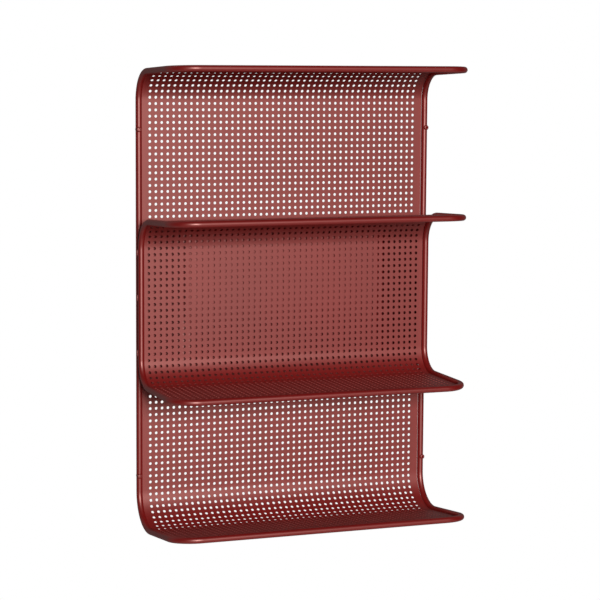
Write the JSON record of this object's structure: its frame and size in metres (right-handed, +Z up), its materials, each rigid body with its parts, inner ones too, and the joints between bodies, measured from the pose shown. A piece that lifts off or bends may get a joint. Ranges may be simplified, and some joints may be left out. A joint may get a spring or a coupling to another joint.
{
  "type": "wall shelf",
  "caption": "Wall-hung shelf of nested C-shaped perforated steel sheets edged in bent round bar, with shallow shelves for small goods, hung on wall screws.",
  "frame": {"origin": "on the wall plane, midway between the side bars and midway in height between the top and bottom front rails", "axes": "+X to the right along the shelves as seen from the front, +Y into the wall, +Z up"},
  "size_m": [0.41, 0.161, 0.5962],
  "materials": {
    "bar_paint": "dark red satin powder coat",
    "sheet_paint": "dark red satin powder coat"
  },
  "bodies": {
    "root": {"outer_sheet": "sheet_paint", "outer_top_front_rail": "bar_paint", "outer_bottom_front_rail": "bar_paint", "outer_left_side_bar": "bar_paint", "outer_right_side_bar": "bar_paint", "inner_sheet": "sheet_paint", "inner_top_front_rail": "bar_paint", "inner_bottom_front_rail": "bar_paint", "inner_left_side_bar": "bar_paint", "inner_right_side_bar": "bar_paint", "weld_tack_left_upper": "bar_paint", "weld_tack_left_middle": "bar_paint", "weld_tack_left_lower": "bar_paint", "screw_bush_left_upper": "bar_paint", "screw_bush_left_lower": "bar_paint", "weld_tack_right_upper": "bar_paint", "weld_tack_right_middle": "bar_paint", "weld_tack_right_lower": "bar_paint", "screw_bush_right_upper": "bar_paint", "screw_bush_right_lower": "bar_paint"}
  },
  "joints": []
}
